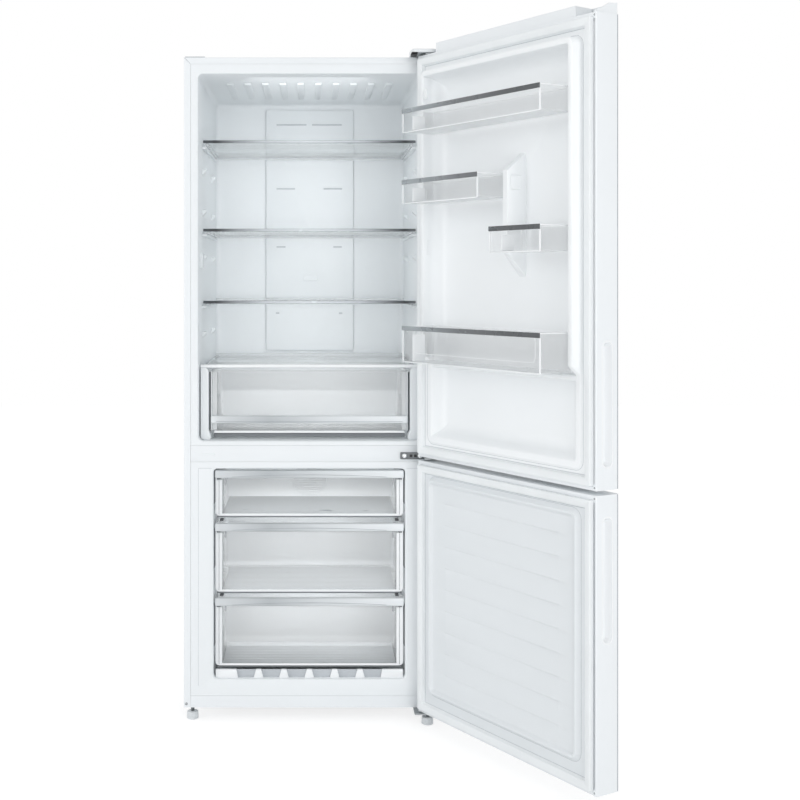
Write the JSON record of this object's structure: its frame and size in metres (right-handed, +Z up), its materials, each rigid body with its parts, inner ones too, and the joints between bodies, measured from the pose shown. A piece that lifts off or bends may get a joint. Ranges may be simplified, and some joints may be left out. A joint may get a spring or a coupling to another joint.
{
  "type": "bottom freezer refrigerator",
  "caption": "White two-door refrigerator with the freezer at the bottom, doors open, with glass shelves, door bins, a crisper and freezer drawers.",
  "frame": {"origin": "centre of the front left levelling foot's sole, on the floor", "axes": "+Z up, +X to the right and +Y to the back as seen by someone standing in front of the refrigerator"},
  "size_m": [1.0715, 1.2331, 1.876],
  "materials": {
    "painted_steel": "satin",
    "liner_plastic": "satin",
    "foamed_door_liner": "satin",
    "insulation": "matte",
    "gasket_rubber": "matte",
    "cap_plastic": "satin",
    "clear_plastic": "gloss",
    "tempered_glass": "gloss",
    "silver_trim": "satin",
    "dark_trim": "satin",
    "zinc_steel": "satin",
    "galvanised_steel": "matte",
    "black_enamel": "satin",
    "aluminium_fins": "satin",
    "grey_plastic": "satin",
    "black_plastic": "matte"
  },
  "bodies": {
    "cabinet": {"outer_wrapper": "painted_steel", "back_panel": "galvanised_steel", "base_frame": "painted_steel", "centre_rail": "cap_plastic", "fridge_liner": "liner_plastic", "freezer_liner": "liner_plastic", "insulation_foam": "insulation", "crisper_cover_frame": "silver_trim", "crisper_cover_glass": "tempered_glass", "air_duct_cover": "liner_plastic", "evaporator_cover": "liner_plastic", "fan_motor": "black_plastic", "evaporator": "aluminium_fins", "compressor": "black_enamel", "drain_pan": "black_plastic", "rear_grille": "galvanised_steel", "top_hinge_bracket": "zinc_steel", "top_hinge_cover": "cap_plastic", "middle_hinge_bracket": "zinc_steel", "bottom_hinge_bracket": "zinc_steel", "shelf_1_frame": "silver_trim", "shelf_1_glass": "tempered_glass", "shelf_2_frame": "silver_trim", "shelf_2_glass": "tempered_glass", "shelf_3_frame": "silver_trim", "shelf_3_glass": "tempered_glass"},
    "upper_door": {"upper_door_skin": "painted_steel", "upper_door_core": "foamed_door_liner", "upper_door_gasket": "gasket_rubber", "upper_door_top_cap": "cap_plastic", "upper_door_bottom_cap": "cap_plastic", "upper_handle_pocket": "cap_plastic", "bin_1_tub": "clear_plastic", "bin_1_strip": "dark_trim", "bin_2_tub": "clear_plastic", "bin_2_strip": "dark_trim", "bin_3_tub": "clear_plastic", "bin_3_strip": "dark_trim", "bin_4_tub": "clear_plastic", "bin_4_strip": "dark_trim"},
    "lower_door": {"lower_door_skin": "painted_steel", "lower_door_core": "foamed_door_liner", "lower_door_gasket": "gasket_rubber", "lower_door_top_cap": "cap_plastic", "lower_door_bottom_cap": "cap_plastic", "lower_handle_pocket": "cap_plastic"},
    "crisper": {"crisper_drawer": "clear_plastic", "crisper_handle": "silver_trim"},
    "frozen_drawer_1": {"freezer_drawer_1": "clear_plastic", "freezer_handle_1": "silver_trim"},
    "frozen_drawer_2": {"freezer_drawer_2": "clear_plastic", "freezer_handle_2": "silver_trim"},
    "frozen_drawer_3": {"freezer_drawer_3": "clear_plastic", "freezer_handle_3": "silver_trim"},
    "humidity_control": {"humidity_slider": "grey_plastic"},
    "fan": {"fan_rotor": "grey_plastic"},
    "left_levelling_foot": {"front_left_foot": "grey_plastic"},
    "right_levelling_foot": {"front_right_foot": "grey_plastic"},
    "left_roller": {"rear_left_roller": "black_plastic"},
    "right_roller": {"rear_right_roller": "black_plastic"}
  },
  "joints": [
    {"name": "upper_door_hinge", "type": "hinge", "parent": "cabinet", "child": "upper_door", "pos_m": [0.659, -0.0574, 0], "axis": [0, 0, 1], "range_deg": [-121, 4]},
    {"name": "lower_door_hinge", "type": "hinge", "parent": "cabinet", "child": "lower_door", "pos_m": [0.659, -0.0574, 0], "axis": [0, 0, 1], "range_deg": [-121, 4]},
    {"name": "crisper_slide", "type": "slide", "parent": "cabinet", "child": "crisper", "axis": [0, -1, 0], "range_m": [0, 0.3]},
    {"name": "freezer_drawer_1_slide", "type": "slide", "parent": "cabinet", "child": "frozen_drawer_1", "axis": [0, -1, 0], "range_m": [0, 0.27]},
    {"name": "freezer_drawer_2_slide", "type": "slide", "parent": "cabinet", "child": "frozen_drawer_2", "axis": [0, -1, 0], "range_m": [0, 0.26]},
    {"name": "freezer_drawer_3_slide", "type": "slide", "parent": "cabinet", "child": "frozen_drawer_3", "axis": [0, -1, 0], "range_m": [0, 0.19]},
    {"name": "humidity_slide", "type": "slide", "parent": "cabinet", "child": "humidity_control", "axis": [1, 0, 0], "range_m": [-0.012, 0.012]},
    {"name": "fan_spin", "type": "hinge", "parent": "cabinet", "child": "fan", "pos_m": [0.327, 0.396, 0.612], "axis": [0, 1, 0], "continuous": true},
    {"name": "left_foot_turn", "type": "hinge", "parent": "cabinet", "child": "left_levelling_foot", "pos_m": [0, 0, 0], "axis": [0, 0, 1], "continuous": true},
    {"name": "right_foot_turn", "type": "hinge", "parent": "cabinet", "child": "right_levelling_foot", "pos_m": [0.654, -0.047, 0], "axis": [0, 0, 1], "continuous": true},
    {"name": "left_roller_spin", "type": "hinge", "parent": "cabinet", "child": "left_roller", "pos_m": [0.027, 0.54, 0.016], "axis": [1, 0, 0], "continuous": true},
    {"name": "right_roller_spin", "type": "hinge", "parent": "cabinet", "child": "right_roller", "pos_m": [0.627, 0.54, 0.016], "axis": [1, 0, 0], "continuous": true}
  ]
}
